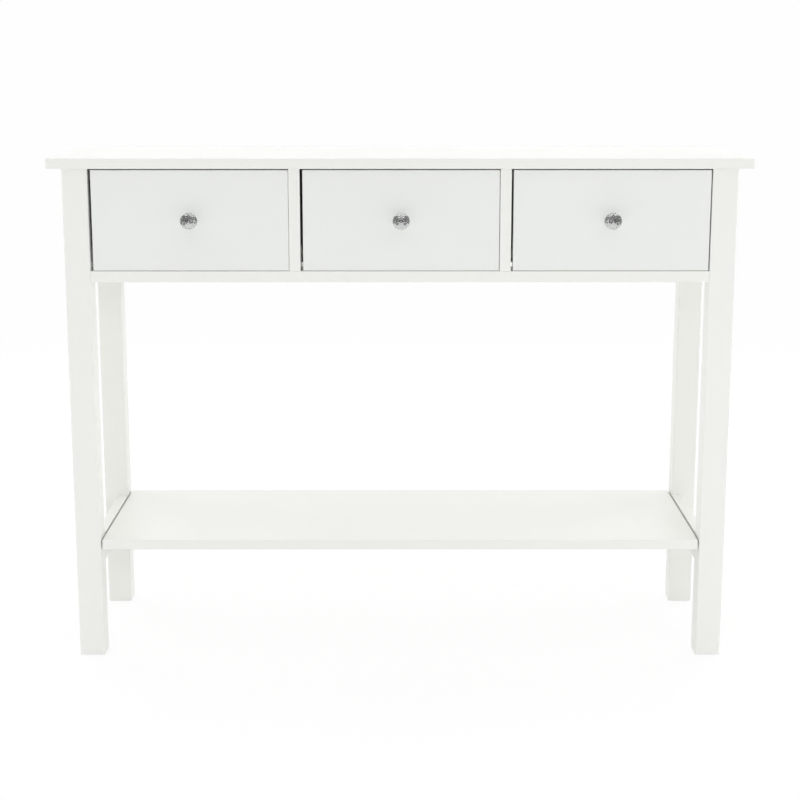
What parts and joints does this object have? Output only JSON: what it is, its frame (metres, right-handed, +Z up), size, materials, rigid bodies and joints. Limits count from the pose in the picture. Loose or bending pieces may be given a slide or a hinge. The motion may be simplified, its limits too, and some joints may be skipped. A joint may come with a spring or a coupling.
{
  "type": "console table",
  "caption": "White painted console table with inset drawers on roller runners, faceted clear knobs, square legs and a lower shelf.",
  "frame": {"origin": "on the floor under the middle of the whole table, knobs included", "axes": "+X to the right seen from the front, +Y to the back, +Z up"},
  "size_m": [1.1, 0.3746, 0.814],
  "materials": {
    "white_paint": "satin white paint on board",
    "drawer_board": "white laminate",
    "drawer_base": "thin white-faced hardboard",
    "dowel_wood": "bare beech",
    "zinc_steel": "zinc plated",
    "runner_paint": "white epoxy on steel",
    "nylon": "moulded nylon",
    "glide_plastic": "moulded plastic",
    "knob_metal": "polished chrome",
    "crystal": "cut clear crystal"
  },
  "bodies": {
    "frame": {"tabletop": "white_paint", "leg_front_left": "white_paint", "leg_front_right": "white_paint", "leg_rear_left": "white_paint", "leg_rear_right": "white_paint", "side_panel_left": "white_paint", "side_panel_right": "white_paint", "back_panel": "white_paint", "front_rail": "white_paint", "divider_left": "white_paint", "divider_right": "white_paint", "lower_shelf": "white_paint", "stretcher_left": "white_paint", "stretcher_right": "white_paint", "foot_glides": "glide_plastic", "frame_dowels": "dowel_wood", "cam_bolts": "zinc_steel", "cam_locks": "zinc_steel", "left_bay_runner_left": "runner_paint", "left_bay_runner_right": "runner_paint", "middle_bay_runner_left": "runner_paint", "middle_bay_runner_right": "runner_paint", "right_bay_runner_left": "runner_paint", "right_bay_runner_right": "runner_paint"},
    "left_drawer": {"left_drawer_front": "white_paint", "left_drawer_side_left": "drawer_board", "left_drawer_side_right": "drawer_board", "left_drawer_back": "drawer_board", "left_drawer_bottom": "drawer_base", "left_drawer_runner_left": "runner_paint", "left_drawer_runner_right": "runner_paint", "left_knob_base": "knob_metal", "left_knob_crystal": "crystal", "left_knob_screw": "knob_metal"},
    "left_front_rollers": {"left_bay_rollers": "nylon"},
    "left_rear_rollers": {"left_drawer_rollers": "nylon"},
    "middle_drawer": {"middle_drawer_front": "white_paint", "middle_drawer_side_left": "drawer_board", "middle_drawer_side_right": "drawer_board", "middle_drawer_back": "drawer_board", "middle_drawer_bottom": "drawer_base", "middle_drawer_runner_left": "runner_paint", "middle_drawer_runner_right": "runner_paint", "middle_knob_base": "knob_metal", "middle_knob_crystal": "crystal", "middle_knob_screw": "knob_metal"},
    "middle_front_rollers": {"middle_bay_rollers": "nylon"},
    "middle_rear_rollers": {"middle_drawer_rollers": "nylon"},
    "right_drawer": {"right_drawer_front": "white_paint", "right_drawer_side_left": "drawer_board", "right_drawer_side_right": "drawer_board", "right_drawer_back": "drawer_board", "right_drawer_bottom": "drawer_base", "right_drawer_runner_left": "runner_paint", "right_drawer_runner_right": "runner_paint", "right_knob_base": "knob_metal", "right_knob_crystal": "crystal", "right_knob_screw": "knob_metal"},
    "right_front_rollers": {"right_bay_rollers": "nylon"},
    "right_rear_rollers": {"right_drawer_rollers": "nylon"}
  },
  "joints": [
    {"name": "left_drawer_slide", "type": "slide", "parent": "frame", "child": "left_drawer", "axis": [0, -1, 0], "range_m": [0, 0.19]},
    {"name": "middle_drawer_slide", "type": "slide", "parent": "frame", "child": "middle_drawer", "axis": [0, -1, 0], "range_m": [0, 0.19]},
    {"name": "right_drawer_slide", "type": "slide", "parent": "frame", "child": "right_drawer", "axis": [0, -1, 0], "range_m": [0, 0.19]},
    {"name": "left_front_roller_spin", "type": "hinge", "parent": "frame", "child": "left_front_rollers", "pos_m": [-0.3305, -0.1272, 0.6617], "axis": [1, 0, 0], "range_deg": [0, 1210]},
    {"name": "left_rear_roller_spin", "type": "hinge", "parent": "left_drawer", "child": "left_rear_rollers", "pos_m": [-0.3305, 0.0898, 0.6603], "axis": [1, 0, 0], "range_deg": [0, 1210]},
    {"name": "middle_front_roller_spin", "type": "hinge", "parent": "frame", "child": "middle_front_rollers", "pos_m": [0, -0.1272, 0.6617], "axis": [1, 0, 0], "range_deg": [0, 1210]},
    {"name": "middle_rear_roller_spin", "type": "hinge", "parent": "middle_drawer", "child": "middle_rear_rollers", "pos_m": [0, 0.0898, 0.6603], "axis": [1, 0, 0], "range_deg": [0, 1210]},
    {"name": "right_front_roller_spin", "type": "hinge", "parent": "frame", "child": "right_front_rollers", "pos_m": [0.3305, -0.1272, 0.6617], "axis": [1, 0, 0], "range_deg": [0, 1210]},
    {"name": "right_rear_roller_spin", "type": "hinge", "parent": "right_drawer", "child": "right_rear_rollers", "pos_m": [0.3305, 0.0898, 0.6603], "axis": [1, 0, 0], "range_deg": [0, 1210]}
  ],
  "couplings": [
    {"joint": "left_front_roller_spin", "follows": "left_drawer_slide", "rad_per_m": 111.11},
    {"joint": "left_rear_roller_spin", "follows": "left_drawer_slide", "rad_per_m": 111.11},
    {"joint": "middle_front_roller_spin", "follows": "middle_drawer_slide", "rad_per_m": 111.11},
    {"joint": "middle_rear_roller_spin", "follows": "middle_drawer_slide", "rad_per_m": 111.11},
    {"joint": "right_front_roller_spin", "follows": "right_drawer_slide", "rad_per_m": 111.11},
    {"joint": "right_rear_roller_spin", "follows": "right_drawer_slide", "rad_per_m": 111.11}
  ]
}
